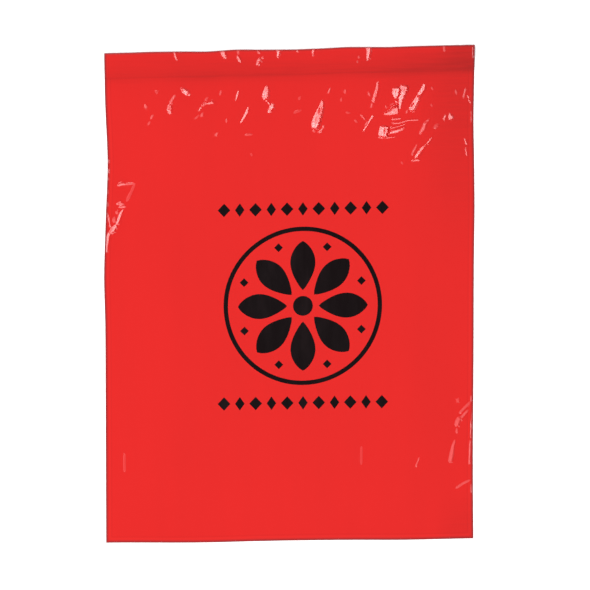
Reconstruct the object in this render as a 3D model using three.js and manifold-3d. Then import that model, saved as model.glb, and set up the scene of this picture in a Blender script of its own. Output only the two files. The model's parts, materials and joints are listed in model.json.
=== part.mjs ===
// A specimen transport bag of red polyethylene film, empty and lying flat on its back.
// One web of film makes the bag: a front and a back ply, welded together down both sides and along
// the bottom and left open at the mouth. The back ply runs on past the mouth, turns over at the top
// fold and lies on the front ply as a narrow closing flap, which hinges about that fold.
// Millimetres, +Z up. X runs across the bag and +Y towards the flap. The origin is on the surface
// that the bag lies on, under the middle of the bag.

import * as THREE from 'three';
import { mergeVertices } from 'three/addons/utils/BufferGeometryUtils.js';
import Module from 'manifold-3d';

// Film and bag
const filmGauge = 0.05; // 2 mil film
const bagWidth = 228.6; // 9 in, side edge to side edge
const bagLength = 304.8; // 12 in, bottom edge to top fold
const sideSeal = 3; // welded margin down each side
const bottomSeal = 4; // welded margin along the bottom
const weldBite = 0.01; // how far the molten plies sink into each other

// Top fold and flap
const foldRadius = 0.8; // of the middle of the film where it turns over
const foldReturn = 0.5; // film past the fold that still belongs to the bag
const foldGap = 0.3; // running gap between the bag's film and the flap
const flapWidth = 15.9; // 5/8 in, top fold to free edge
const flapLift = 1.4; // how far the flap's free edge springs up

// Front ply
const mouthSetback = 5; // mouth edge below the top fold
const mouthRoom = 0.7; // free height between the front ply's mouth and the flap
const airDepth = 1.8; // air left between the plies in the middle of the bag
const airRun = 42; // distance over which the front ply climbs to it

// Look of the film
const filmRed = 0xeb2e2d;
const filmRoughness = 0.22;

// Fineness of the facets
const foldFacets = 10;
const flapFacets = 6;
const plyColumns = 18;
const plyRows = 22;
const cornersMeetWithin = 1e-5; // corners closer than this are one corner

// Places worked out from the sizes above
const bottomY = -bagLength / 2;
const foldY = bagLength / 2 - foldRadius - filmGauge / 2;
const foldZ = filmGauge / 2 + foldRadius;
const flapFreeY = bagLength / 2 - flapWidth;
const mouthY = bagLength / 2 - mouthSetback;
const weldedPlyZ = 1.5 * filmGauge - weldBite; // middle of the front ply where it is welded down
const flapUndersideZ = foldZ + foldRadius - filmGauge / 2;
const mouthAir = flapUndersideZ - mouthRoom - weldedPlyZ - filmGauge / 2;

const redFilm = new THREE.MeshStandardMaterial({
  color: filmRed,
  roughness: filmRoughness,
  metalness: 0,
});

const wasm = await Module();
wasm.setup();

function solidOf(geometry) {
  const bare = geometry.clone();
  bare.deleteAttribute('normal');
  bare.deleteAttribute('uv');
  const merged = mergeVertices(bare, cornersMeetWithin);
  return new wasm.Manifold(new wasm.Mesh({
    numProp: 3,
    vertProperties: new Float32Array(merged.attributes.position.array),
    triVerts: new Uint32Array(merged.index.array),
  }));
}

function geometryOf(solid) {
  const mesh = solid.getMesh();
  const geometry = new THREE.BufferGeometry();
  geometry.setAttribute('position', new THREE.BufferAttribute(mesh.vertProperties, 3));
  geometry.setIndex(new THREE.BufferAttribute(mesh.triVerts, 1));
  geometry.computeVertexNormals();
  return geometry;
}

// 0 before the start, 1 after the run, and a smooth climb between them.
function climb(distance, run) {
  return THREE.MathUtils.smoothstep(distance, 0, run);
}

// Places along one direction: the outer edge of the weld, its inner edge, then even steps.
function stations(from, to, weldAtStart, weldAtEnd, steps) {
  const inner = [];
  for (let step = 0; step <= steps; step += 1) {
    inner.push(THREE.MathUtils.lerp(from + weldAtStart, to - weldAtEnd, step / steps));
  }
  const start = weldAtStart > 0 ? [from] : [];
  const end = weldAtEnd > 0 ? [to] : [];
  return [...start, ...inner, ...end];
}

// A sheet of film over a grid of columns and rows, with the middle of its thickness at height(x, y).
function filmSheet(columns, rows, height) {
  const across = columns.length - 1;
  const along = rows.length - 1;
  const sheet = new THREE.BoxGeometry(1, 1, 1, across, along, 1);
  const points = sheet.attributes.position;
  for (let i = 0; i < points.count; i += 1) {
    const x = columns[Math.round((points.getX(i) + 0.5) * across)];
    const y = rows[Math.round((points.getY(i) + 0.5) * along)];
    points.setXYZ(i, x, y, height(x, y) + Math.sign(points.getZ(i)) * filmGauge / 2);
  }
  return sheet;
}

// The air between the plies: none at the welds, a little at the mouth, most in the middle.
function airAt(x, y) {
  const fromSide = climb(bagWidth / 2 - sideSeal - Math.abs(x), airRun);
  const fromBottom = climb(y - bottomY - bottomSeal, airRun);
  const fromFlap = climb(flapFreeY - y, airRun);
  return fromSide * fromBottom * THREE.MathUtils.lerp(mouthAir, airDepth, fromFlap);
}

function frontPly() {
  const columns = stations(-bagWidth / 2, bagWidth / 2, sideSeal, sideSeal, plyColumns);
  const rows = stations(bottomY, mouthY, bottomSeal, 0, plyRows);
  return filmSheet(columns, rows, (x, y) => weldedPlyZ + airAt(x, y));
}

// The back ply with the top fold and the short return that ends at the flap.
function backPlyAndFold() {
  const outer = foldRadius + filmGauge / 2;
  const inner = foldRadius - filmGauge / 2;
  const quarter = Math.PI / 2;
  const section = new THREE.Shape();
  section.moveTo(bottomY, 0);
  section.lineTo(foldY, 0);
  section.absarc(foldY, foldZ, outer, -quarter, quarter, false);
  section.lineTo(foldY - foldReturn, foldZ + outer);
  section.lineTo(foldY - foldReturn, foldZ + inner);
  section.lineTo(foldY, foldZ + inner);
  section.absarc(foldY, foldZ, inner, quarter, -quarter, true);
  section.lineTo(bottomY, filmGauge);
  section.closePath();
  const web = new THREE.ExtrudeGeometry(section, {
    depth: bagWidth,
    bevelEnabled: false,
    curveSegments: foldFacets,
  });
  const sectionToBag = new THREE.Matrix4().makeBasis(
    new THREE.Vector3(0, 1, 0),
    new THREE.Vector3(0, 0, 1),
    new THREE.Vector3(1, 0, 0),
  );
  web.applyMatrix4(sectionToBag);
  web.translate(-bagWidth / 2, 0, 0);
  return web;
}

function bagFilm() {
  const web = solidOf(backPlyAndFold()).add(solidOf(frontPly()));
  const bag = new THREE.Mesh(geometryOf(web), redFilm);
  bag.name = 'bag_film';
  return bag;
}

// The flap in its own frame: the fold's axis is its origin, so turning the group opens the flap.
function closureFlap() {
  const startY = -foldReturn - foldGap;
  const freeY = flapFreeY - foldY;
  const rows = stations(freeY, startY, 0, 0, flapFacets);
  const columns = [-bagWidth / 2, bagWidth / 2];
  const lift = (y) => flapLift * ((startY - y) / (startY - freeY)) ** 2;
  const sheet = filmSheet(columns, rows, (x, y) => foldRadius + lift(y));
  const flap = new THREE.Mesh(sheet, redFilm);
  flap.name = 'closure_flap';
  const hinge = new THREE.Group();
  hinge.position.set(0, foldY, foldZ);
  hinge.add(flap);
  return hinge;
}

const bag = new THREE.Group();
bag.add(bagFilm());
bag.add(closureFlap());

export default bag;
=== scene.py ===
"""A specimen transport bag of thin red film, lying flat and empty on a pale table.

Two plies of film are welded together down both sides and across the bottom. The back ply runs on
past the mouth, turns over at the top fold and lies on the front ply as a narrow closing flap. The
film is dressed over the CAD solids bag_film and closure_flap: same sizes, same hinge.
"""

import json
import math
from contextlib import contextmanager

import bpy
import numpy as np
from bpy.props import (
    FloatProperty,
    FloatVectorProperty,
    IntProperty,
    PointerProperty,
)
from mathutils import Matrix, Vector


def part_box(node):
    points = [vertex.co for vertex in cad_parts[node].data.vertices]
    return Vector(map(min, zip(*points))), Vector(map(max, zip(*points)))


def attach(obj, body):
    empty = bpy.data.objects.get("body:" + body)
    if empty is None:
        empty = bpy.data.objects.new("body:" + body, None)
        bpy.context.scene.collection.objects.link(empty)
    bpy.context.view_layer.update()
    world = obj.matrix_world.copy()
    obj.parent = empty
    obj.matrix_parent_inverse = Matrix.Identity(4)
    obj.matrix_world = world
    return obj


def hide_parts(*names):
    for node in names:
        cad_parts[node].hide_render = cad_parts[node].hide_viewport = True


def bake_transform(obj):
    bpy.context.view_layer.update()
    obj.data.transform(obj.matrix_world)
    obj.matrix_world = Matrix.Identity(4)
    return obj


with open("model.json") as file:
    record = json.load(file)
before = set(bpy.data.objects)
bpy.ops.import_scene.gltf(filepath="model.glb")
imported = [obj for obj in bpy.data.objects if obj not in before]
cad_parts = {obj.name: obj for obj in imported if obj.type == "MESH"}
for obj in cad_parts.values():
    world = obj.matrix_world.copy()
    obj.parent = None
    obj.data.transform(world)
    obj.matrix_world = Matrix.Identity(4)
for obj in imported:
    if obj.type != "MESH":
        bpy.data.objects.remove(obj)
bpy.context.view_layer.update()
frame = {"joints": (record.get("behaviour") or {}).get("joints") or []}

bl_info = {
    "name": "Specimen Transport Bag",
    "version": (1, 0, 0),
    "blender": (4, 5, 0),
    "location": "3D View > Sidebar > Bag",
    "description": "Makes a flat red film bag with a fold-over flap, and a table to see it on",
    "category": "Add Mesh",
}

MM = 0.001
FILM_LOW, FILM_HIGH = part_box("bag_film")
FLAP_LOW, FLAP_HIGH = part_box("closure_flap")
FOLD_AXIS = Vector(frame["joints"][0]["pos_m"])

# How the bag's outline wanders. Each hump is how far it moves the edge towards +X or +Y, its place
# along the edge and its spread, in millimetres.
LEFT_HUMPS = ((1.7, 84, 30), (-0.7, 12, 20))
RIGHT_HUMPS = ((0.5, 55, 30), (-0.5, -105, 55), (0.5, 148, 22), (-0.2, 105, 12))
TOP_HUMPS = (
    (-0.42, -52, 10),
    (0.34, -32, 10),
    (-0.36, 3, 17),
    (0.34, 36, 11),
    (-0.22, 62, 9),
    (0.15, -86, 12),
)
BOTTOM_HUMPS = ((-0.62, -58, 34), (-0.42, 72, 26))
SPREADING = 0.3 * MM  # how much wider the bag lies at its top corners

# Relief of the front ply. The length of each wave is that of one radian of it.
AIR_UNDER_FLAP = 0.35 * MM
SWELL, SLANTING_SWELL = 0.30 * MM, 0.18 * MM
SWELL_ACROSS, SWELL_ALONG, SLANTING_WAVE = 23 * MM, 31 * MM, 17 * MM
SWELL_COMES_IN = 12 * MM  # distance below the flap over which it does
PUCKER, PUCKER_REACH = 0.11 * MM, 5 * MM  # of the film beside the side welds
PUCKER_WAVE, PUCKER_DRIFT, PUCKER_FADE = 2.1 * MM, 13 * MM, 37 * MM
EDGE_SHARE = 0.35  # what is left of a crease's height at the very edge
EDGE_REACH = 1.2 * MM

# Relief of the flap, in the same terms
FLAP_SWELL = 0.06 * MM
FLAP_WAVE, FLAP_LONG_WAVE = 11 * MM, 29 * MM

# Cells of the meshes
PLY_CELL, FLAP_CELL = 2.5 * MM, 1.3 * MM
BROAD_CREASE = 2.2 * MM  # from here on its rim has the finest cells
FINE_PAST_FOLD = 9 * MM  # how far past the top fold the flap has fine cells

# Painted shade along the flap's free edge and along the top fold: how dark it is at the left end,
# and then how much darker it gets between which places across the bag, in millimetres.
FREE_EDGE_SHADE = (0.32, (0.12, -90, -55), (0.22, 35, 85), (0.20, 80, 110))
FOLD_SHADE = (0.085, (0.11, 45, 85), (0.33, 85, 108))
# Painted shadow below the flap's free edge, and painted shade at the right end of the front
EDGE_SHADOW = ((0.72, 1.7 * MM), (0.28, 6 * MM))  # shares of it, and how far each reaches down
RIGHT_SHADE, TOP_SHADE, FOOT_SHADE = 0.32, 0.20, 0.17  # at the right end of the front

# The film's finish
DEEPEST_SHADE = (0.52, 0.52, 0.52)
POLYETHYLENE_IOR = 1.52
MELTED_ROUGHNESS, DULL_ROUGHNESS = 0.2, 0.75  # added at the cut edge and in the dullest creases
MELTED_RIM = (2.5 * MM, 2.8 * MM)  # past it, the flap skips the look of a weld

# The ornament, as shares of the rosette's radius
RING_INSIDE = 0.945
HEART, PINHOLE = 0.125, 0.001
PETAL_START, PETAL_LENGTH, PETAL_HALF_WIDTH = 0.20, 0.62, 0.155
SMALL_LOZENGE, SMALL_LOZENGE_PLACE = 0.055, 0.80
ROW_STEP, ROW_HALF_HEIGHT = 0.20, 0.085
ROW_HALF_COUNT = 5  # lozenges on each side of a row's middle one
PRINT_CENTRE = Vector((8.3, -7.0)) * MM
PRINT_LIFT = 0.015 * MM  # clear air under the ink

# The stage. The sizes of a softbox and of the tube in it are shares of their distance.
SENSOR_WIDTH = 36  # millimetres
AIM = (3.4 * MM, -0.2 * MM)
SOFTBOX_SHARES, TUBE_SHARES = (0.72, 0.30), (0.72, 0.045)
TUBE_PLACE = 0.98
SOFTBOX_TURNS = (("Side", -68), ("Middle", 0), ("Front", 68))
STUDIO_GLOW = (("From Min", 0.05), ("From Max", 0.30), ("To Min", 1.15), ("To Max", 0.30))

# Creases of the front ply. Each starts with its shine, from 0 for dull to 1 for glossy. Then comes
# a run of places along its middle, in millimetres on the bag: x, y and the crease's width there.
FRONT_CREASES = (
    # upper left
    (0.85, (-65, 129.4, 0.8), (-63.6, 127.3, 2.3), (-61.2, 125.4, 2.5), (-59.4, 124.4, 0.9)),
    (0.45, (-68.6, 125, 0.9), (-70.6, 122.3, 1.2), (-72, 119.4, 1.6)),
    (0.6, (-72.1, 119.4, 1.7), (-72.7, 115.8, 2.3), (-72, 113, 1.4)),
    (0.65, (-54.6, 114.3, 0.7), (-52.4, 117.4, 1.1)),
    (0.7, (-52.2, 117.6, 1), (-49.2, 119.2, 1.3), (-44.6, 119.8, 1.8)),
    (0.3, (-48.4, 123.2, 0.9), (-50.2, 121.4, 1.2)),
    (0.35, (-51.6, 113.6, 1.3), (-53, 111.2, 1)),
    (0.25, (-56.6, 110, 0.7), (-54.2, 112, 0.7)),
    (0.4, (-87.6, 119.2, 1.1), (-86.6, 117.2, 1.5)),
    (0.35, (-82.6, 112.8, 0.9), (-84, 110.6, 0.9)),
    (0.3, (-84.6, 108.6, 0.7), (-85.6, 107, 0.7)),
    (0.35, (-40.2, 127.2, 0.7), (-41, 124.4, 0.9)),
    (0.7, (-29.3, 127.2, 0.8), (-30.4, 124, 1.2), (-31.3, 120.4, 0.7)),
    (0.8, (-23.3, 117, 0.9), (-24.6, 113.6, 1.7), (-26.6, 109.8, 1.4), (-28.8, 106.4, 0.6)),
    (0.4, (-37, 109.8, 0.8), (-37.4, 107.4, 1.1)),
    (0.45, (-42.4, 101.2, 0.8), (-44.4, 99.2, 1.3)),
    (0.25, (-25.8, 99.4, 0.8), (-21.4, 99.7, 0.8)),
    (0.1, (-80.8, 127.8, 0.8), (-79.6, 126.6, 0.8)),
    (0.1, (-22.2, 87.8, 0.7), (-21.9, 86.6, 0.7)),
    # upper middle
    (0.9, (20.6, 115.8, 0.4), (20.2, 113.6, 0.8), (19.9, 111.6, 0.4)),
    (0.15, (8.6, 122.4, 0.7), (8.4, 121, 0.8)),
    (0.1, (4.8, 112.6, 0.6), (7.2, 113.5, 0.7), (9, 114.2, 0.6)),
    (1, (-12, 130, 1.2), (-12.6, 126.4, 2.9), (-13.2, 123, 3.4), (-12.8, 120.8, 2.2)),
    (0.9, (-13, 121.8, 1.3), (-11.4, 119.6, 1), (-9.8, 117.4, 0.9)),
    (0.9, (-8, 119, 1.2), (-9.2, 116.6, 2.3), (-11.3, 113, 1.1)),
    (1, (22.5, 120.4, 1), (21.4, 116, 2.6), (19.4, 111, 4), (17.6, 106, 4.4), (16.6, 102.4, 3.2)),
    (0.6, (22.9, 104.8, 0.8), (22.5, 102.6, 1.2)),
    (0.6, (22.6, 102.8, 1), (21, 101.2, 1.2), (19.2, 100.4, 0.9)),
    (0.4, (16, 101.2, 0.9), (18, 100.7, 1)),
    (0.5, (27.5, 127.8, 0.9), (26.1, 124.2, 0.9)),
    (0.35, (36.7, 126.6, 0.8), (36.6, 124, 1)),
    (0.3, (34.3, 121.4, 0.8), (34, 119.4, 0.9)),
    (0.4, (51.3, 124.8, 0.8), (51.9, 122.2, 1.1)),
    (0.2, (37, 112.2, 0.7), (39.4, 112, 0.7)),
    (0.3, (42.2, 107.4, 0.9), (43.8, 106, 0.9)),
    (0.6, (46, 110.4, 0.9), (48, 108.4, 1.1), (49.3, 106.8, 0.6)),
    (0.85, (54, 110.6, 1.2), (51.8, 107.4, 1.1), (49.4, 103.6, 1.2), (47.1, 100, 0.8)),
    (0.5, (50.4, 106.8, 0.6), (48.4, 103.4, 0.6)),
    # upper right
    (0.6, (57, 131.6, 0.7), (56.4, 127, 1.5), (55, 122.4, 1.8), (53.6, 118.4, 1.5)),
    (0.4, (53.4, 118, 1.1), (52.4, 114.8, 0.8)),
    (0.9, (68.2, 127.6, 4.2), (67.8, 124, 3.8), (67.6, 120.4, 1.7)),
    (0.7, (67.6, 119, 1), (69, 117.6, 1.8)),
    (0.9, (73.6, 128.8, 4.6), (72.1, 124.6, 3.8), (70.8, 119.6, 2.2), (70.3, 113.4, 0.7)),
    (0.9, (60.6, 110.6, 1), (64.4, 111.2, 2.4), (67.6, 112.6, 4.2), (69.8, 112.8, 4.6)),
    (0.7, (66.4, 116.6, 0.8), (68, 114.6, 1.2)),
    (0.4, (61.4, 114.8, 1), (63.2, 115.4, 1)),
    (0.5, (64.2, 116, 0.7), (66.8, 117.8, 0.8)),
    (0.85, (85.9, 129.6, 1.3), (84.9, 126.4, 2.1), (82.7, 123.2, 2.1), (81.6, 120.8, 1.6)),
    (0.8, (82, 122.4, 1.4), (80.5, 119, 2.7), (78.2, 115, 3.1), (76.4, 112.8, 2.2)),
    (0.4, (75.4, 113.4, 1), (74, 111.2, 1.1)),
    (0.65, (65.4, 107.2, 1.2), (71.2, 108, 1.1)),
    (0.65, (65, 104.8, 0.9), (69.8, 105, 1.1), (75, 106.6, 1), (82.4, 106.9, 0.9)),
    (0.8, (64.2, 101.8, 1.1), (69, 102.8, 1.2), (74.2, 104.6, 0.9)),
    (0.85, (60.3, 103.8, 4.6), (59.6, 100, 5.1), (58.9, 96.4, 4.4)),
    (0.9, (63, 98.7, 1.5), (68, 100, 2), (73.8, 102.2, 1.3)),
    (0.75, (56.6, 96, 0.8), (62, 96, 0.9), (68, 96.6, 0.7)),
    (0.5, (88.8, 107.7, 0.8), (85.6, 104.6, 1.7), (84.5, 101.4, 2.1), (82.1, 98, 0.9)),
    (0.35, (94.6, 104.2, 1.1), (92.8, 103.4, 1.7), (91.1, 101.6, 0.9)),
    (0.8, (90.4, 96.4, 0.8), (88.4, 94.2, 1.1), (86.4, 91.6, 1.3)),
    (0.85, (86.7, 92.2, 1.2), (83.9, 89.6, 1.8), (81.1, 86, 2.1), (79, 83.2, 1.3)),
    (0.45, (80.7, 92, 0.7), (78.6, 88, 1.3), (76.9, 85, 0.9)),
    (0.6, (76.8, 81.1, 0.7), (80, 82, 1.2), (82.6, 81.7, 0.7)),
    (0.6, (98.8, 110.4, 0.7), (98.1, 108.6, 1.2), (97.3, 106.6, 1.6)),
    (0.75, (101, 111, 0.8), (101.4, 109, 1.8), (101.8, 106.6, 2.9)),
    (0.3, (90.2, 127.2, 1), (91, 125.6, 1.1)),
    (0.3, (89.8, 116.6, 0.9), (90.4, 115.2, 0.9)),
    (0.35, (105.2, 125.2, 1), (105.7, 122.4, 0.9)),
    (0.5, (111.5, 126.4, 0.7), (110.4, 122.4, 1.1), (109.8, 119.8, 0.7)),
    (0.65, (112.4, 121.8, 1.1), (113.4, 119.6, 1.4)),
    (0.6, (113.2, 119.4, 1.1), (114.2, 116.6, 1.1)),
    (0.5, (114.6, 112, 0.8), (114.3, 105, 0.8)),
    (0.65, (110.2, 95.2, 0.8), (111.2, 91.2, 1.3)),
    (0.6, (110.7, 89.6, 0.8), (111.3, 84.4, 1.1)),
    (0.8, (79, 118, 0.4), (77.8, 116, 0.7), (77.1, 114.6, 0.4)),
    (0.8, (60.8, 102.6, 0.4), (60.3, 100.4, 0.6), (60, 98.2, 0.4)),
    (0.25, (70.6, 81, 0.8), (71.4, 79.8, 0.8)),
    # left edge
    (0.55, (-105.4, 69.4, 0.9), (-102.6, 70.3, 1.5), (-100, 70.3, 1)),
    (0.4, (-100.4, 70.3, 0.8), (-94.6, 70.6, 0.7)),
    (0.08, (-95, 69.8, 0.7), (-96.8, 66, 0.8), (-98.6, 62.4, 1.2), (-99.9, 60, 0.8)),
    (0.55, (-106.2, 57.8, 0.9), (-103.4, 58.2, 1.1), (-101.4, 57.8, 0.8)),
    (0.55, (-105, 56, 0.8), (-103, 56.1, 1.1), (-100.4, 56.4, 1)),
    (0.3, (-106.8, 53.2, 1.7), (-105.4, 52.2, 1.6)),
    (0.7, (-102.2, 54.8, 0.9), (-104, 52, 1.5), (-105, 49, 1.8), (-106.6, 45.4, 1.8)),
    (0.7, (-106.6, 45.4, 1.6), (-109, 42.4, 2.4), (-111, 40.2, 1.8)),
    (0.3, (-107.8, 50, 1.5), (-108.2, 46.8, 1.7)),
    (0.6, (-111.2, 44.4, 1.2), (-109.4, 44.2, 1.2)),
    (0.8, (-111.2, 40.6, 1.4), (-112, 38, 1.9), (-112.5, 34, 1.7), (-112.9, 28, 1)),
    (0.6, (-112, 52.6, 0.8), (-111.3, 49, 1.2), (-110.7, 45.6, 0.8)),
    (0.8, (-110.6, 86, 0.9), (-110.7, 83.4, 1)),
    (0.85, (-110.7, 80, 0.9), (-110.7, 77, 1.1)),
    (0.7, (-111, 74.8, 0.9), (-111.1, 73, 1)),
    (0.35, (-111.8, 67, 0.8), (-111.6, 64.8, 1)),
    (0.4, (-111.8, 59.2, 0.9), (-111.6, 57, 1)),
    # lower right
    (0.5, (111.6, -64.6, 0.9), (111.1, -67.8, 1.2)),
    (0.3, (111, -68.4, 1), (107.6, -71.6, 1), (104, -75.2, 0.9)),
    (0.4, (109.6, -73.4, 0.9), (106.6, -76.4, 1.1), (104, -79.2, 1.3)),
    (0.3, (104, -77.6, 1.6), (102.6, -80, 2), (101.7, -83.2, 2.2)),
    (0.25, (102.4, -84.6, 0.8), (102, -87.4, 1.1)),
    (0.3, (101, -91.8, 0.8), (99.6, -95.6, 1.3), (98.6, -100, 1.8), (97.4, -105.6, 1.7)),
    (0.8, (111.8, -74.4, 0.7), (111.1, -82, 1), (110.6, -91, 1)),
    (0.45, (110.5, -92, 0.9), (110, -99, 0.9), (109.5, -107, 0.8)),
    (0.35, (109.8, -116.8, 0.8), (105.6, -118.8, 1), (101.2, -121.7, 0.9)),
    (0.45, (78.7, -102, 0.7), (76.3, -107.8, 0.7)),
    (0.15, (103.6, -66, 1), (103, -68.2, 1.1)),
    (0.5, (110.6, -119.6, 0.8), (110.4, -124.4, 1)),
    (0, (42.9, -95, 0.4), (42.6, -105.4, 0.4)),
    (0, (-104.1, -97.4, 0.6), (-104.2, -107.6, 0.6)),
)

# Puckers of the top fold, in the same terms.
FOLD_CREASES = (
    (0.6, (-69, 153.4, 1), (-68.2, 149, 1.3), (-67.3, 146.2, 0.8)),
    (0.65, (-39, 154, 1.4), (-38.6, 149.8, 2.6), (-37, 146.8, 1.4)),
    (0.4, (-29, 153.4, 0.9), (-29.2, 149.4, 1.1)),
    (0.65, (-29.9, 148.6, 1), (-29.1, 146.6, 1.8), (-27.9, 144.4, 1)),
    (0.5, (-17.4, 151, 1.2), (-15.6, 149.6, 1.2)),
    (0.6, (-13, 148.2, 0.9), (-15, 147, 1.3)),
    (0.65, (-15.6, 147.2, 1.3), (-17, 145, 2), (-17.7, 142.4, 1.5)),
    (0.4, (-16.4, 146.4, 0.8), (-14.4, 144.4, 0.9)),
    (0.75, (-4.3, 154, 2.8), (-4.4, 150, 2), (-5.2, 146.8, 0.9)),
    (0.6, (-1.8, 154, 1), (-3, 150, 0.9)),
    (0.6, (8.6, 154, 0.9), (7.2, 150, 1.3)),
    (0.4, (13.2, 153.6, 0.9), (13.6, 152, 0.9)),
    (0.65, (18, 154.4, 1.7), (17.2, 150, 1.2), (17, 147.2, 0.8)),
    (0.35, (45.8, 147.2, 1.3), (45.2, 145.9, 1)),
    (0.3, (44.8, 144.4, 0.9), (44.4, 143.2, 0.9)),
    (0.8, (51.6, 155.4, 3.4), (51.4, 150, 2.6), (51, 146.8, 2), (50.5, 144.2, 0.9)),
    (0.3, (98.1, 155, 1), (98.6, 149, 1.1)),
    (0.7, (116.2, 151.6, 0.8), (116, 148.5, 0.9), (116.2, 145, 0.8)),
)


def ease(value, start, end):
    """0 at start and before it, 1 at end and past it, with a smooth climb between them."""
    t = np.clip((value - start) / (end - start), 0, 1)
    return t * t * (3 - 2 * t)


def bump(value, centre, spread):
    """A smooth hump of height 1 around centre."""
    return np.exp(-(((value - centre) / spread) ** 2))


def number_prop(name, description, default, **more):
    return FloatProperty(name=name, description=description, default=default, **more)


def length_prop(*about, **limits):
    return number_prop(*about, subtype="DISTANCE", unit="LENGTH", **limits)


def angle_prop(*about):
    return number_prop(*about, subtype="ANGLE", unit="ROTATION")


def colour_prop(name, description, default):
    about = {"name": name, "description": description, "default": default}
    return FloatVectorProperty(**about, subtype="COLOR", size=3, min=0, max=1)


class FilmSettings(bpy.types.PropertyGroup):
    """Sizes and finish of the film and of the two welded plies."""

    bag_width: length_prop(
        "Bag width", "Side edge to side edge", FILM_HIGH.x - FILM_LOW.x, min=0.05
    )
    bag_length: length_prop(
        "Bag length", "Bottom edge to top fold", FILM_HIGH.y - FILM_LOW.y, min=0.05
    )
    film_gauge: length_prop(
        "Film gauge", "Thickness of one ply", 0.05 * MM, min=0.01 * MM, precision=5
    )
    side_weld: length_prop("Side weld", "Width of the welded margin down each side", 3.2 * MM)
    mouth_setback: length_prop(
        "Mouth setback", "From the top fold down to the mouth edge of the front ply", 5 * MM
    )
    air_depth: length_prop(
        "Air depth", "Air left between the plies in the middle of the bag", 1.8 * MM
    )
    air_run: length_prop(
        "Air run", "Distance from a weld over which the front ply climbs to the air depth", 42 * MM
    )
    lean: length_prop(
        "Lean", "How far the top of the bag has slid to the right as it was laid down", 2.4 * MM
    )
    skew: length_prop(
        "Skew", "How far the right end of the top edge stands above its middle", 0.65 * MM
    )
    film_red: colour_prop("Film red", "Colour of the pigmented film", (0.74, 0.0092, 0.0072))
    # Dark red of the melted cut edges, also used as painted shade at the cut edges and along the
    # crown of the flap's top fold
    edge_red_and_shade: colour_prop("Edge red", "Colour of the cut and melted edge", (0.20, 0.010, 0.012))
    film_roughness: number_prop(
        "Film roughness", "Roughness of the glossy blown film", 0.062, min=0.02, max=1
    )


class FlapSettings(bpy.types.PropertyGroup):
    """Sizes of the closing flap."""

    flap_width: length_prop(
        "Flap width", "Top fold to the flap's free edge", FILM_HIGH.y - FLAP_LOW.y
    )
    flap_gap: length_prop(
        "Flap gap",
        "Air between the front and the free edge of the flap that lies on it",
        0.05 * MM,
        precision=5,
    )


class PrintSettings(bpy.types.PropertyGroup):
    """The plain ornament printed on the front."""

    rosette_radius: length_prop(
        "Rosette radius", "Outer radius of the ring around the petals", 49 * MM
    )
    petals: IntProperty(
        name="Petals", description="Petals of the rosette", default=8, min=3, max=24
    )
    row_offset: length_prop(
        "Row offset", "From the rosette's centre to the row of lozenges above and below it", 60 * MM
    )
    ink: colour_prop("Ink", "Colour of the printing ink", (0.0055, 0.0025, 0.003))
    ink_depth: length_prop("Ink depth", "Thickness of the dried ink", 0.02 * MM, precision=5)


class StageSettings(bpy.types.PropertyGroup):
    """The table, the lights and the camera."""

    view_width: length_prop("View width", "Width of the table that the camera sees", 366 * MM)
    view_roll: angle_prop(
        "View roll", "How far the bag looks turned to the left in the picture", math.radians(1.0)
    )
    lens: number_prop("Lens", "Focal length of the camera in millimetres", 100, min=20)
    key_bearing: angle_prop(
        "Softbox bearing",
        "Direction of the middle softbox, turned left from the bag's right side",
        math.radians(210),
    )
    key_slant: angle_prop(
        "Softbox slant", "Lean of the softboxes from straight overhead", math.radians(34)
    )
    key_distance: length_prop("Softbox distance", "From the bag's middle to each softbox", 6, min=1)
    softbox_brightness: number_prop(
        "Softbox brightness", "Watts given by each square metre of softbox", 14.2, min=0
    )
    core_brightness: number_prop(
        "Lamp brightness",
        "Watts given by each square metre of the tube behind a softbox's cloth",
        20,
        min=0,
    )
    table_glow: number_prop(
        "Table glow", "Light given by the table top itself, as a light table gives", 0.28, min=0
    )
    table: colour_prop("Table", "Colour of the table top", (0.93, 0.93, 0.93))


# Where the film lies


def film_settings():
    return bpy.context.scene.bag_film


def flap_settings():
    return bpy.context.scene.bag_flap


def camera_distance():
    stage = bpy.context.scene.bag_stage
    return stage.view_width * stage.lens / SENSOR_WIDTH


def half_sizes():
    film = film_settings()
    return film.bag_width / 2, film.bag_length / 2


def wander(place, humps):
    """How far an edge is out of line at that place along it."""
    return sum(
        out * MM * bump(place, centre * MM, spread * MM) for out, centre, spread in humps
    )


def as_laid(u, v):
    """Where a place on the flat cut film lies on the table: it leans, and its edges wander."""
    film = film_settings()
    half_width, half_length = half_sizes()
    across, along = u / half_width, v / half_length
    left = ease(-across, -0.2, 1.0)
    right = ease(across, -0.2, 1.0)
    top = ease(along, 0.7, 1.0)
    bottom = ease(-along, 0.7, 1.0)
    x = u + film.lean * along + SPREADING * across * along
    x += left * wander(v, LEFT_HUMPS) + right * wander(v, RIGHT_HUMPS)
    y = v + film.skew * across * along
    y += top * wander(u, TOP_HUMPS) + bottom * wander(u, BOTTOM_HUMPS)
    return x, y


def from_weld(u, v):
    """Distance from the nearest welded edge."""
    half_width, half_length = half_sizes()
    return np.minimum(half_width - np.abs(u), v + half_length)


def shining_slope(place, faces):
    """Slope that, leaning towards faces, mirrors the middle of a softbox into the camera."""
    stage = bpy.context.scene.bag_stage
    reach = stage.key_distance * math.sin(stage.key_slant)
    rise = stage.key_distance * math.cos(stage.key_slant)
    to_light = Vector((*(reach * faces - place), rise)).normalized()
    to_eye = Vector((*-place, camera_distance())).normalized()
    between = to_light + to_eye
    return float(between.xy @ Vector(faces)) / between.z


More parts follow.
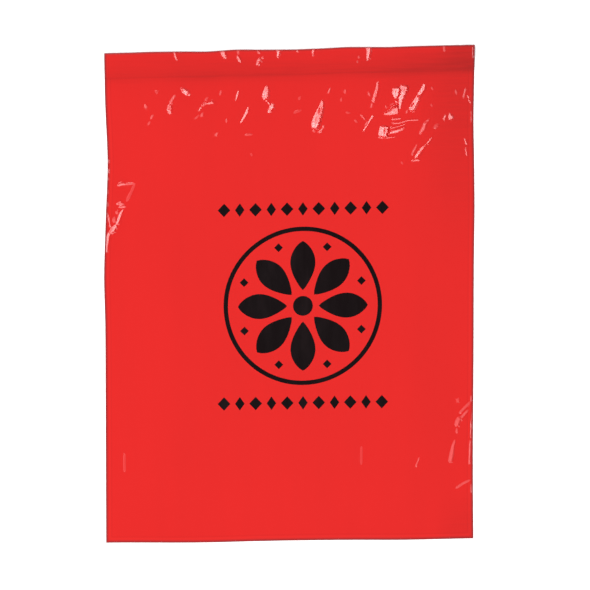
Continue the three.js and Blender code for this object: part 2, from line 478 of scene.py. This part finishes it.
class Crease:
    """A stroke of film tilted towards the softboxes, which falls back past its high side."""

    FALL = 0.65  # share of the width over which the high side falls back
    LONGEST_FALL, LEAST_FALL = 1.4 * MM, 0.001 * MM
    ROUNDING = 0.9 * MM  # of the ends
    RAGGED = 0.06  # share by which the width of a broad crease comes and goes
    RAGGED_FROM = 2.1 * MM
    RAGGED_TURNS = (2.3, 5.1)  # radians for each millimetre along the crease
    RAGGED_START = 900  # radians for each metre across the bag, so that no two are alike
    FINISH_REACH = 0.8 * MM  # how far its look runs on past its outline

    def __init__(self, shine, line):
        stage = bpy.context.scene.bag_stage
        rows = np.array(line) * MM
        self.points, self.widths = rows[:, :2], rows[:, 2]
        self.widest = self.widths.max()
        self.shine = shine
        self.raggedness = self.RAGGED * float(self.widest > self.RAGGED_FROM)
        run = self.points[-1] - self.points[0]
        left = np.array((-run[1], run[0])) / np.hypot(*run)
        lit = np.array((math.cos(stage.key_bearing), math.sin(stage.key_bearing)))
        self.downhill = 1.0 if left @ lit > 0 else -1.0
        self.slope = shining_slope(self.points.mean(axis=0), left * self.downhill)

    def beside(self, x, y):
        """Distance uphill from the low side, the width there, and how far past the ends it is."""
        nearest = np.full(x.shape, np.inf)
        uphill, width, past = np.zeros_like(x), np.ones_like(x), np.zeros_like(x)
        gone = 0.0
        legs = len(self.points) - 1
        total = np.hypot(*np.diff(self.points, axis=0).T).sum()
        for leg in range(legs):
            start, run = self.points[leg], self.points[leg + 1] - self.points[leg]
            length = np.hypot(*run)
            run = run / length
            dx, dy = x - start[0], y - start[1]
            along = dx * run[0] + dy * run[1]
            side = run[0] * dy - run[1] * dx
            inside = np.clip(along, 0, length)
            away = np.hypot(side, along - inside)
            closer = away < nearest
            nearest = np.where(closer, away, nearest)
            here = self.widths[leg] + (self.widths[leg + 1] - self.widths[leg]) * inside / length
            from_end = np.minimum(gone + inside, total - gone - inside)
            here = here * np.sqrt(np.clip(from_end / self.ROUNDING, 0, 1))
            turned = self.points[0, 0] * self.RAGGED_START + (gone + inside) / MM
            waves = sum(np.sin(turns * turned) for turns in self.RAGGED_TURNS)
            ragged = 1 + self.raggedness * waves
            beyond = np.abs(along - inside)
            if leg > 0:
                beyond = np.where(along < 0, 0, beyond)
            if leg < legs - 1:
                beyond = np.where(along > length, 0, beyond)
            signed = np.where(beyond > 0, side, np.copysign(away, side))
            width = np.where(closer, here * ragged, width)
            uphill = np.where(closer, here / 2 - signed * self.downhill, uphill)
            past = np.where(closer, beyond, past)
            gone += length
        return uphill, width, past

    def height(self, x, y):
        uphill, width, past = self.beside(x, y)
        fall = np.minimum(width * self.FALL, self.LONGEST_FALL) + self.LEAST_FALL
        rise = np.minimum(uphill, width) * (1 - ease(uphill - width, 0, fall))
        return np.where((past > 0) | (uphill < 0), 0, self.slope * rise)

    def near(self, x, y, margin, uphill_margin):
        """True on the crease and up to those margins round it."""
        uphill, width, past = self.beside(x, y)
        return (past < margin) & (uphill > -margin) & (uphill < width + uphill_margin)

    def reached(self, x, y, margin):
        """Which places are close enough to be worth working out."""
        low = self.points.min(axis=0) - margin - self.widest
        high = self.points.max(axis=0) + margin + self.widest
        return np.flatnonzero((x > low[0]) & (x < high[0]) & (y > low[1]) & (y < high[1]))


def creases_of(rows):
    return [Crease(shine, line) for shine, *line in rows]


def relief(x, y, creases):
    total = np.zeros_like(x)
    for crease in creases:
        some = crease.reached(x, y, crease.widest)
        total[some] += crease.height(x[some], y[some])
    return total


def any_near(x, y, creases, margin, falls):
    """True within margin of a crease, and beyond its high side by falls times its width."""
    found = np.zeros(x.shape, bool)
    for crease in creases:
        some = crease.reached(x, y, margin + falls * crease.widest)
        found[some] |= crease.near(x[some], y[some], margin, margin + falls * crease.widest)
    return found


def crease_finish(x, y, creases):
    """Crumple, 1 in the creases and 0 on smooth film, and dullness, 0 where it is glossy."""
    crumple, dullness = np.zeros_like(x), np.zeros_like(x)
    for crease in creases:
        some = crease.reached(x, y, 2 * crease.FINISH_REACH)
        uphill, width, past = crease.beside(x[some], y[some])
        off = np.maximum(np.maximum(-uphill, uphill - width), past)
        here = 1 - ease(off, 0, crease.FINISH_REACH)
        dull = (1 - crease.shine) * here
        dullness[some] = np.where(here > crumple[some], dull, dullness[some])
        crumple[some] = np.maximum(crumple[some], here)
    return crumple, dullness


def relief_as_laid(u, v, creases):
    """Height of the creases at a place on the flat film. They are lower at the welded edges."""
    share = EDGE_SHARE + (1 - EDGE_SHARE) * ease(from_weld(u, v), 0, EDGE_REACH)
    return relief(*as_laid(u, v), creases) * share


def front_height(u, v, creases):
    """Height of the front ply's outer face."""
    film = film_settings()
    half_width, half_length = half_sizes()
    below_flap = half_length - flap_settings().flap_width - v
    from_side = half_width - np.abs(u) - film.side_weld
    air = ease(from_side, 0, film.air_run)
    air *= ease(v + half_length - film.side_weld, 0, film.air_run)
    depth = AIR_UNDER_FLAP + (film.air_depth - AIR_UNDER_FLAP) * ease(
        below_flap, -2 * MM, film.air_run
    )
    swell = SWELL * np.sin(u / SWELL_ACROSS + 1.0) * np.sin(v / SWELL_ALONG + 0.5)
    swell += SLANTING_SWELL * np.sin((u + v) / SLANTING_WAVE)
    swell *= ease(below_flap, 0, SWELL_COMES_IN)
    pucker = np.exp(-np.maximum(from_side, 0) / PUCKER_REACH) * ease(from_side, -1 * MM, 2 * MM)
    ripple = np.sin(v / PUCKER_WAVE + 2.4 * np.sin(v / PUCKER_DRIFT))
    ripple *= 0.6 + 0.4 * np.sin(v / PUCKER_FADE + u * 9)
    return (
        2 * film.film_gauge
        + air * (depth + swell)
        + PUCKER * pucker * (1 + ripple)
        + relief_as_laid(u, v, creases)
    )


# How dark the painted shade is at a place across the bag
def shade_across(u, left, *rises):
    return left + sum(rise * ease(u, start * MM, end * MM) for rise, start, end in rises)


def depth_of_colour(u, v):
    """Painted shade: how much darker the red is painted under and at the flap's free edge, and at
    the right end.
    """
    free_edge = film_settings().bag_length / 2 - flap_settings().flap_width
    below = np.maximum(free_edge - v, 0)
    shadow = sum(share * np.exp(-below / reach) for share, reach in EDGE_SHADOW)
    at_edge = shade_across(u, *FREE_EDGE_SHADE) * shadow
    right_side = RIGHT_SHADE * ease(u, 70 * MM, 108 * MM)
    right_side *= np.clip((v - 15 * MM) / (110 * MM), 0, 1)
    top_band = TOP_SHADE * ease(u, 35 * MM, 75 * MM) * ease(v, 112 * MM, 136 * MM)
    foot = FOOT_SHADE * ease(u, 88 * MM, 106 * MM) * ease(-v, 115 * MM, 148 * MM)
    return np.maximum(at_edge, np.maximum(right_side, top_band)) + foot


# Making and finishing meshes


def nothing_selected():
    if bpy.context.object and bpy.context.object.mode != "OBJECT":
        bpy.ops.object.mode_set(mode="OBJECT")
    bpy.ops.object.select_all(action="DESELECT")


def flat_sheet(name, low, high, cell):
    """A flat grid from low to high, in metres, of square cells."""
    nothing_selected()
    width, length = high[0] - low[0], high[1] - low[1]
    bpy.ops.mesh.primitive_grid_add(
        x_subdivisions=round(width / cell),
        y_subdivisions=round(length / cell),
        size=1,
        location=((low[0] + high[0]) / 2, (low[1] + high[1]) / 2, 0),
    )
    sheet = bpy.context.object
    sheet.name = sheet.data.name = name
    sheet.scale = (width, length, 1)
    bpy.ops.object.transform_apply(location=True, rotation=True, scale=True)
    return sheet


def places(sheet):
    count = len(sheet.data.vertices)
    co = np.empty(count * 3, np.float32)
    sheet.data.vertices.foreach_get("co", co)
    return co.reshape(-1, 3).astype(float)


def move_to(sheet, points):
    sheet.data.vertices.foreach_set("co", points.astype(np.float32).ravel())
    sheet.data.update()


@contextmanager
def editing(sheet, select=None):
    """Edit mode, with every face selected or deselected first where that is asked for."""
    bpy.context.view_layer.objects.active = sheet
    bpy.ops.object.mode_set(mode="EDIT")
    if select:
        bpy.ops.mesh.select_all(action=select)
    yield
    bpy.ops.object.mode_set(mode="OBJECT")


def finer_where(sheet, wanted):
    """Subdivides the faces whose middles wanted(x, y) picks."""
    with editing(sheet, "DESELECT"):
        bpy.ops.mesh.select_mode(type="FACE")
    middles = np.empty(len(sheet.data.polygons) * 3, np.float32)
    sheet.data.polygons.foreach_get("center", middles)
    middles = middles.reshape(-1, 3).astype(float)
    sheet.data.polygons.foreach_set("select", wanted(middles[:, 0], middles[:, 1]))
    with editing(sheet):
        bpy.ops.mesh.subdivide(number_cuts=1)


def keep(sheet, **layers):
    """Stores numbers for the finish to read, under each name one for every corner."""
    for name, values in layers.items():
        layer = sheet.data.attributes.new(name, "FLOAT", "POINT")
        layer.data.foreach_set("value", values.astype(np.float32))


def turn_over(sheet):
    with editing(sheet, "SELECT"):
        bpy.ops.mesh.flip_normals()


def give_thickness(sheet, gauge):
    """Grows the film inwards from its outer face."""
    nothing_selected()
    sheet.select_set(True)
    bpy.context.view_layer.objects.active = sheet
    solid = sheet.modifiers.new("Film gauge", "SOLIDIFY")
    solid.thickness = gauge
    solid.offset = -1
    bpy.ops.object.modifier_apply(modifier=solid.name)
    bpy.ops.object.shade_smooth_by_angle(angle=math.radians(50))


def surface_of(sheet, material):
    sheet.data.materials.clear()
    sheet.data.materials.append(material)


# Finishes


class Finish:
    """Lays out and joins the nodes of one material."""

    def __init__(self, name):
        self.material = bpy.data.materials.new(name)
        self.material.use_nodes = True
        self.tree = self.material.node_tree
        self.shader = self.tree.nodes["Principled BSDF"]

    def node(self, kind, **settings):
        made = self.tree.nodes.new(kind)
        for name, value in settings.items():
            setattr(made, name, value)
        return made

    def join(self, source, target):
        self.tree.links.new(source, target)

    def put(self, socket, value):
        if isinstance(value, bpy.types.NodeSocket):
            self.join(value, socket)
        else:
            socket.default_value = value

    def attribute(self, name):
        return self.node("ShaderNodeAttribute", attribute_name=name).outputs["Fac"]

    def maths(self, operation, first, second=0.0):
        made = self.node("ShaderNodeMath", operation=operation)
        self.put(made.inputs[0], first)
        self.put(made.inputs[1], second)
        return made.outputs[0]

    def fade(self, value, start, end, low=0.0, high=1.0):
        made = self.node("ShaderNodeMapRange", interpolation_type="SMOOTHSTEP")
        for name, setting in (
            ("Value", value),
            ("From Min", start),
            ("From Max", end),
            ("To Min", low),
            ("To Max", high),
        ):
            self.put(made.inputs[name], setting)
        return made.outputs["Result"]

    def noise(self, scale, detail=2, roughness=0.5, stretch=(1, 1, 1)):
        where = self.node("ShaderNodeTexCoord").outputs["Object"]
        mapping = self.node("ShaderNodeMapping")
        mapping.inputs["Scale"].default_value = stretch
        self.join(where, mapping.inputs["Vector"])
        made = self.node("ShaderNodeTexNoise")
        self.join(mapping.outputs["Vector"], made.inputs["Vector"])
        made.inputs["Scale"].default_value = scale
        made.inputs["Detail"].default_value = detail
        made.inputs["Roughness"].default_value = roughness
        return made.outputs["Fac"]

    def mix(self, share, first, second, blend="MIX"):
        made = self.node("ShaderNodeMix", data_type="RGBA", blend_type=blend)
        self.put(made.inputs["Factor"], share)
        colours = [socket for socket in made.inputs if socket.type == "RGBA"]
        for socket, value in zip(colours, (first, second), strict=True):
            is_socket = isinstance(value, bpy.types.NodeSocket)
            self.put(socket, value if is_socket else (*value, 1.0))
        return next(s for s in made.outputs if s.type == "RGBA")

    def bump(self, height, distance, strength, under=None):
        made = self.node("ShaderNodeBump")
        self.put(made.inputs["Height"], height)
        made.inputs["Distance"].default_value = distance
        self.put(made.inputs["Strength"], strength)
        if under is not None:
            self.join(under, made.inputs["Normal"])
        return made.outputs["Normal"]


def red_film_finish():
    film = film_settings()
    finish = Finish("Red film")
    red = tuple(film.film_red)
    edge = finish.attribute("edge_distance")
    shade = finish.attribute("depth_of_colour")

    streaks = finish.noise(scale=70, detail=3, roughness=0.55, stretch=(1, 0.12, 1))
    clouds = finish.noise(scale=16)
    deeper = tuple(c * 0.90 for c in red)
    lighter = (min(red[0] * 1.05, 1), red[1] * 1.5, red[2] * 1.5)
    colour = finish.mix(finish.fade(streaks, 0.3, 0.75, high=0.16), red, deeper)
    colour = finish.mix(finish.fade(clouds, 0.35, 0.7, high=0.12), colour, deeper)
    weld = film.side_weld
    in_weld = finish.fade(edge, weld * 0.86, weld * 1.02, low=0.5, high=0)
    colour = finish.mix(in_weld, colour, lighter)
    line_in = finish.fade(edge, weld * 0.92, weld * 1.08, high=0.18)
    line_out = finish.fade(edge, weld * 1.12, weld * 1.34, low=1, high=0)
    weld_line = finish.maths("MULTIPLY", line_in, line_out)
    colour = finish.mix(weld_line, colour, tuple(c * 0.7 for c in red))
    # Painted shade: the red is darkened by the shade attribute, broken into faint streaks along the
    # bag, down to DEEPEST_SHADE
    shade_streaks = finish.noise(scale=620, roughness=0.6, stretch=(0.05, 1, 1))
    shade = finish.maths("MULTIPLY", shade, finish.fade(shade_streaks, 0.3, 0.7, low=0.82, high=1.18))
    colour = finish.mix(shade, colour, DEEPEST_SHADE, "MULTIPLY")
    # Dark red at the cut edges, partly their melted bead and partly painted edge shade, and painted
    # shade along the crown of the flap's top fold
    melt_and_edge_shade = finish.fade(edge, -0.5 * MM, 2.3 * MM, low=1, high=0)
    colour = finish.mix(melt_and_edge_shade, colour, tuple(film.edge_red_and_shade))
    finish.join(colour, finish.shader.inputs["Base Color"])

    scuffs = finish.noise(scale=240, detail=3, roughness=0.6)
    rough = film.film_roughness
    gloss = finish.fade(scuffs, 0.25, 0.8, low=rough * 0.85, high=rough * 1.3)
    gloss = finish.maths("ADD", gloss, finish.maths("MULTIPLY", melt_and_edge_shade, MELTED_ROUGHNESS))
    dullness = finish.maths("POWER", finish.attribute("dullness"), 1.5)
    dullness = finish.maths("MULTIPLY", dullness, DULL_ROUGHNESS)
    finish.join(finish.maths("ADD", gloss, dullness), finish.shader.inputs["Roughness"])
    finish.shader.inputs["IOR"].default_value = POLYETHYLENE_IOR
    finish.shader.inputs["Specular IOR Level"].default_value = 0.72

    orange_peel = finish.noise(scale=420, stretch=(1, 0.45, 1))
    crinkles = finish.noise(scale=460, detail=3, roughness=0.55, stretch=(1, 0.4, 1))
    normal = finish.bump(orange_peel, distance=0.02 * MM, strength=0.25)
    crinkled = finish.maths("MULTIPLY", finish.attribute("crumple"), 0.75)
    normal = finish.bump(crinkles, distance=0.2 * MM, strength=crinkled, under=normal)
    finish.join(normal, finish.shader.inputs["Normal"])
    return finish.material


def black_ink_finish():
    ink = tuple(bpy.context.scene.bag_print.ink)
    finish = Finish("Black ink")
    streaks = finish.noise(scale=150, detail=4, roughness=0.6, stretch=(1, 0.25, 1))
    worn = tuple(c * 2 for c in ink)
    colour = finish.mix(finish.fade(streaks, 0.45, 0.8, high=0.6), ink, worn)
    finish.join(colour, finish.shader.inputs["Base Color"])
    gloss = finish.fade(streaks, 0.2, 0.8, low=0.24, high=0.34)
    finish.join(gloss, finish.shader.inputs["Roughness"])
    finish.shader.inputs["Specular IOR Level"].default_value = 0.12
    grain = finish.bump(finish.noise(scale=900), distance=0.01 * MM, strength=0.3)
    finish.join(grain, finish.shader.inputs["Normal"])
    return finish.material


def table_finish():
    stage = bpy.context.scene.bag_stage
    finish = Finish("Pale table")
    pale = tuple(stage.table)
    clouds = finish.fade(finish.noise(scale=2.5), 0.3, 0.7)
    colour = finish.mix(clouds, pale, tuple(c * 0.995 for c in pale))
    finish.join(colour, finish.shader.inputs["Base Color"])
    for name, value in (
        ("Roughness", 0.9),
        ("Specular IOR Level", 0.1),
        ("Emission Color", (1, 1, 1, 1)),
        ("Emission Strength", stage.table_glow),
    ):
        finish.put(finish.shader.inputs[name], value)
    return finish.material


def film_material():
    return bpy.data.materials.get("Red film") or red_film_finish()


# The pieces


class BAG_OT_front_ply(bpy.types.Operator):
    """Make the creased front ply, welded at three edges and open at the mouth"""

    bl_idname = "bag.front_ply"
    bl_label = "Front Ply"
    bl_options = {"REGISTER", "UNDO"}

    def execute(self, context):
        film = film_settings()
        half_width, half_length = half_sizes()
        mouth = half_length - film.mouth_setback
        creases = creases_of(FRONT_CREASES)
        broad = [crease for crease in creases if crease.widest > BROAD_CREASE]
        ply = flat_sheet(
            "front_ply", (-half_width, -half_length), (half_width, mouth), PLY_CELL
        )

        def near(some, margin, falls):
            return lambda u, v: any_near(*as_laid(u, v), some, margin, falls)

        beside = near(creases, 1.2 * MM, Crease.FALL)
        around_rim, inside_rim = near(broad, 0.25 * MM, 0), near(broad, -0.3 * MM, 0)
        for wanted in (
            lambda u, v: (from_weld(u, v) < 7 * MM) | beside(u, v),
            beside,
            near(creases, 0.4 * MM, 0.3),
            lambda u, v: around_rim(u, v) & ~inside_rim(u, v),
        ):
            finer_where(ply, wanted)
        flat = places(ply)
        u, v = flat[:, 0], flat[:, 1]
        x, y = as_laid(u, v)
        crumple, dullness = crease_finish(x, y, creases)
        keep(
            ply,
            edge_distance=from_weld(u, v),
            crumple=crumple,
            dullness=dullness,
            depth_of_colour=depth_of_colour(u, v),
        )
        move_to(ply, np.column_stack((x, y, front_height(u, v, creases))))
        give_thickness(ply, film.film_gauge)
        surface_of(ply, film_material())
        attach(ply, "bag")
        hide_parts("bag_film")
        return {"FINISHED"}


class BAG_OT_back_ply(bpy.types.Operator):
    """Make the back ply, which lies flat on the table up to the top fold"""

    bl_idname = "bag.back_ply"
    bl_label = "Back Ply"
    bl_options = {"REGISTER", "UNDO"}

    def execute(self, context):
        film = film_settings()
        half_width, half_length = half_sizes()
        ply = flat_sheet(
            "back_ply", (-half_width, -half_length), (half_width, FOLD_AXIS.y), PLY_CELL
        )
        finer_where(ply, lambda u, v: from_weld(u, v) < 8 * MM)
        flat = places(ply)
        u, v = flat[:, 0], flat[:, 1]
        x, y = as_laid(u, v)
        edge = from_weld(u, v)
        z = 0.9 * relief_as_laid(u, v, creases_of(FRONT_CREASES))
        z *= 1 - ease(edge, 1 * MM, 6 * MM)
        z *= ease(FOLD_AXIS.y - v, 2 * MM, 10 * MM)
        plain = np.zeros_like(u)
        keep(ply, edge_distance=edge, crumple=plain, dullness=plain, depth_of_colour=plain)
        move_to(ply, np.column_stack((x, y, z)))
        turn_over(ply)
        give_thickness(ply, film.film_gauge)
        surface_of(ply, film_material())
        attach(ply, "bag")
        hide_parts("bag_film")
        return {"FINISHED"}


class BAG_OT_closure_flap(bpy.types.Operator):
    """Make the flap: the film turns over at the top fold and lies down on the front"""

    bl_idname = "bag.closure_flap"
    bl_label = "Closure Flap"
    bl_options = {"REGISTER", "UNDO"}

    def execute(self, context):
        film, flap = film_settings(), flap_settings()
        half_width = film.bag_width / 2
        radius = FOLD_AXIS.z
        turn = math.pi * radius
        straight = flap.flap_width - radius
        creases = creases_of(FOLD_CREASES)
        strip = flat_sheet(
            "closure_flap_film", (-half_width, 0), (half_width, turn + straight), FLAP_CELL
        )

        def section(u, s):
            """Place and outward direction at distance s along the film from the fold's start."""
            angle = np.clip(s / turn, 0, 1) * math.pi
            run = np.maximum(s - turn, 0)
            y = FOLD_AXIS.y + radius * np.sin(angle) - run
            z = FOLD_AXIS.z - radius * np.cos(angle)
            resting = front_height(u, y, []) + film.film_gauge + flap.flap_gap
            z += np.where(run > 0, (resting - z) * ease(run, 0, straight), 0)
            return y, z, np.sin(angle), -np.cos(angle)

        def at_fold(u, s):
            return (s < turn + FINE_PAST_FOLD) & (s > 0)

        def by_crease(u, s):
            x, laid_y = as_laid(u, section(u, s)[0])
            return any_near(x, laid_y, creases, 0.6 * MM, Crease.FALL)

        finer_where(strip, at_fold)
        finer_where(strip, by_crease)
        flat = places(strip)
        u, s = flat[:, 0], flat[:, 1]
        y, z, out_y, out_z = section(u, s)
        x = as_laid(u, y)[0]
        laid_y = y + as_laid(u, np.full_like(u, FOLD_AXIS.y))[1] - FOLD_AXIS.y
        raised = relief(x, laid_y, creases) * ease(s, turn * 0.6, turn * 1.1)
        swell = FLAP_SWELL * np.sin(u / FLAP_WAVE) * np.sin(u / FLAP_LONG_WAVE + 1)
        swell *= ease(s, turn, turn * 2) * ease(straight + turn - s, 0, 4 * MM)
        edges = []
        # Distance from the side edges and from the crown of the top fold; at the crown the finish
        # paints the edge red as shade of the film turning over
        for edge in (half_width - np.abs(u), np.abs(s - turn / 2) - 0.3 * MM):
            past_melt = ease(edge, *MELTED_RIM)
            edges.append(edge + past_melt * 2 * film.side_weld)
        crumple, dullness = crease_finish(x, laid_y, creases)
        # Painted shade on the flap, from its value at the top fold to its value at the free edge
        at_fold_shade = shade_across(u, *FOLD_SHADE)
        down = np.clip((s - turn) / straight, 0, 1) ** 1.3
        keep(
            strip,
            edge_distance=np.minimum(*edges),
            crumple=crumple * ease(s, turn * 0.5, turn),
            dullness=dullness,
            depth_of_colour=at_fold_shade
            + (shade_across(u, *FREE_EDGE_SHADE) - at_fold_shade) * down,
        )
        move_to(
            strip,
            np.column_stack((x, laid_y + out_y * raised, z + out_z * raised + swell)),
        )
        turn_over(strip)
        give_thickness(strip, film.film_gauge)
        surface_of(strip, film_material())
        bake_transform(strip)
        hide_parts("closure_flap")
        return {"FINISHED"}


class BAG_OT_front_print(bpy.types.Operator):
    """Print a plain rosette between two rows of lozenges on the front ply"""

    bl_idname = "bag.front_print"
    bl_label = "Front Print"
    bl_options = {"REGISTER", "UNDO"}

    def execute(self, context):
        design = context.scene.bag_print
        radius = design.rosette_radius
        patches = []

        def patch(cells, shape):
            """A small grid of the unit square, bent by shape(a, b) to places on the film."""
            nothing_selected()
            bpy.ops.mesh.primitive_grid_add(
                x_subdivisions=cells[0], y_subdivisions=cells[1], size=2
            )
            piece = context.object
            flat = places(piece)
            x, y = shape(flat[:, 0], flat[:, 1])
            x, y = x + PRINT_CENTRE.x, y + PRINT_CENTRE.y
            move_to(piece, np.column_stack((x, y, np.zeros_like(x))))
            patches.append(piece)

        def ring(inner, outer):
            def shape(a, b):
                r = (inner + outer) / 2 + b * (outer - inner) / 2
                return r * np.cos(-a * math.pi), r * np.sin(-a * math.pi)

            return shape

        def petal(angle):
            def shape(a, b):
                t = (a + 1) / 2
                x = radius * (PETAL_START + PETAL_LENGTH * t)
                roundness = np.sin(math.pi * t) ** 0.75 * (0.75 + 0.5 * t)
                y = b * radius * PETAL_HALF_WIDTH * roundness
                return (
                    x * math.cos(angle) - y * math.sin(angle),
                    x * math.sin(angle) + y * math.cos(angle),
                )

            return shape

        def lozenge(x0, y0, half_width, half_height):
            def shape(a, b):
                return x0 + (a - b) / 2 * half_width, y0 + (a + b) / 2 * half_height

            return shape

        patch((144, 3), ring(radius * RING_INSIDE, radius))
        patch((36, 5), ring(radius * PINHOLE, radius * HEART))
        small, out = radius * SMALL_LOZENGE, radius * SMALL_LOZENGE_PLACE
        for k in range(design.petals):
            angle = math.pi / 2 + 2 * math.pi * k / design.petals
            patch((24, 8), petal(angle))
            beside = angle + math.pi / design.petals
            patch((4, 4), lozenge(out * math.cos(beside), out * math.sin(beside), small, small))
        step, tall = radius * ROW_STEP, radius * ROW_HALF_HEIGHT
        for k in range(-ROW_HALF_COUNT, ROW_HALF_COUNT + 1):
            wide = step * (0.40 if k % 2 else 0.30)
            for side in (-1, 1):
                patch((6, 6), lozenge(k * step, side * design.row_offset, wide, tall))

        nothing_selected()
        for piece in patches:
            piece.select_set(True)
        context.view_layer.objects.active = patches[0]
        bpy.ops.object.join()
        ornament = context.object
        ornament.name = ornament.data.name = "front_print"
        with editing(ornament, "SELECT"):
            bpy.ops.mesh.remove_doubles(threshold=0.02 * MM)
        flat = places(ornament)
        u, v = flat[:, 0], flat[:, 1]
        x, y = as_laid(u, v)
        z = front_height(u, v, creases_of(FRONT_CREASES)) + design.ink_depth + PRINT_LIFT
        move_to(ornament, np.column_stack((x, y, z)))
        with editing(ornament, "SELECT"):
            bpy.ops.mesh.normals_make_consistent(inside=False)
        if ornament.data.polygons[0].normal.z < 0:
            turn_over(ornament)
        give_thickness(ornament, design.ink_depth)
        surface_of(ornament, black_ink_finish())
        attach(ornament, "bag")
        return {"FINISHED"}


class BAG_OT_stage(bpy.types.Operator):
    """Lay out the table, the softboxes and the camera"""

    bl_idname = "bag.stage"
    bl_label = "Table, Lights and Camera"
    bl_options = {"REGISTER", "UNDO"}

    def execute(self, context):
        stage = context.scene.bag_stage
        nothing_selected()
        bpy.ops.mesh.primitive_grid_add(
            x_subdivisions=8, y_subdivisions=8, size=6, location=(0, 0, -0.05 * MM)
        )
        table = context.object
        table.name = "table"
        surface_of(table, table_finish())

        def softbox(name, bearing, distance, shares, watts):
            across = math.sin(stage.key_slant)
            place = distance * Vector(
                (math.cos(bearing) * across, math.sin(bearing) * across, math.cos(stage.key_slant))
            )
            light = bpy.data.lights.new(name, "AREA")
            light.shape = "RECTANGLE"
            light.size, light.size_y = (distance * share for share in shares)
            light.energy = watts * light.size * light.size_y
            lamp = bpy.data.objects.new(name, light)
            lamp.location = place
            lamp.rotation_euler = (-place).to_track_quat("-Z", "Y").to_euler()
            lamp.visible_camera = False
            context.scene.collection.objects.link(lamp)

        for name, turn in SOFTBOX_TURNS:
            bearing = stage.key_bearing + math.radians(turn)
            far = stage.key_distance
            softbox(f"{name} softbox", bearing, far, SOFTBOX_SHARES, stage.softbox_brightness)
            softbox(f"{name} tube", bearing, far * TUBE_PLACE, TUBE_SHARES, stage.core_brightness)

        world = bpy.data.worlds.new("Studio")
        world.use_nodes = True
        nodes, links = world.node_tree.nodes, world.node_tree.links
        where = nodes.new("ShaderNodeTexCoord")
        parts = nodes.new("ShaderNodeSeparateXYZ")
        climb = nodes.new("ShaderNodeMapRange")
        climb.interpolation_type = "SMOOTHSTEP"
        for name, value in STUDIO_GLOW:
            climb.inputs[name].default_value = value
        links.new(where.outputs["Generated"], parts.inputs["Vector"])
        links.new(parts.outputs["Z"], climb.inputs["Value"])
        links.new(climb.outputs["Result"], nodes["Background"].inputs["Strength"])
        nodes["Background"].inputs["Color"].default_value = (1, 1, 1, 1)
        context.scene.world = world

        eye = bpy.data.cameras.new("Camera")
        eye.lens = stage.lens
        eye.clip_start, eye.clip_end = 0.01, 20
        camera = bpy.data.objects.new("Camera", eye)
        camera.location = (*AIM, camera_distance())
        camera.rotation_euler = (0, 0, -stage.view_roll)
        context.scene.collection.objects.link(camera)
        context.scene.camera = camera
        context.scene.view_settings.view_transform = "Standard"
        return {"FINISHED"}


# The name of each group of settings, its class, and the operators that read it.
SETTINGS = (
    ("bag_film", FilmSettings, ("bag.front_ply", "bag.back_ply")),
    ("bag_flap", FlapSettings, ("bag.closure_flap",)),
    ("bag_print", PrintSettings, ("bag.front_print",)),
    ("bag_stage", StageSettings, ("bag.stage",)),
)


class BAG_PT_panel(bpy.types.Panel):
    """Makes the bag piece by piece"""

    bl_idname = "BAG_PT_panel"
    bl_label = "Specimen Bag"
    bl_space_type = "VIEW_3D"
    bl_region_type = "UI"
    bl_category = "Bag"

    def draw(self, context):
        for group, kind, operators in SETTINGS:
            box = self.layout.box()
            for name in kind.__annotations__:
                box.prop(getattr(context.scene, group), name)
            for operator in operators:
                box.operator(operator)


CLASSES = (
    *(kind for _, kind, _ in SETTINGS),
    BAG_OT_front_ply,
    BAG_OT_back_ply,
    BAG_OT_closure_flap,
    BAG_OT_front_print,
    BAG_OT_stage,
    BAG_PT_panel,
)


def register():
    for kind in CLASSES:
        bpy.utils.register_class(kind)
    for name, kind, _ in SETTINGS:
        setattr(bpy.types.Scene, name, PointerProperty(type=kind))


def unregister():
    for name, _, _ in SETTINGS:
        delattr(bpy.types.Scene, name)
    for kind in reversed(CLASSES):
        bpy.utils.unregister_class(kind)


def main():
    register()
    bpy.ops.bag.front_ply()
    bpy.ops.bag.back_ply()
    bpy.ops.bag.closure_flap()
    bpy.ops.bag.front_print()
    bpy.ops.bag.stage()
    nothing_selected()


if __name__ == "__main__":
    main()
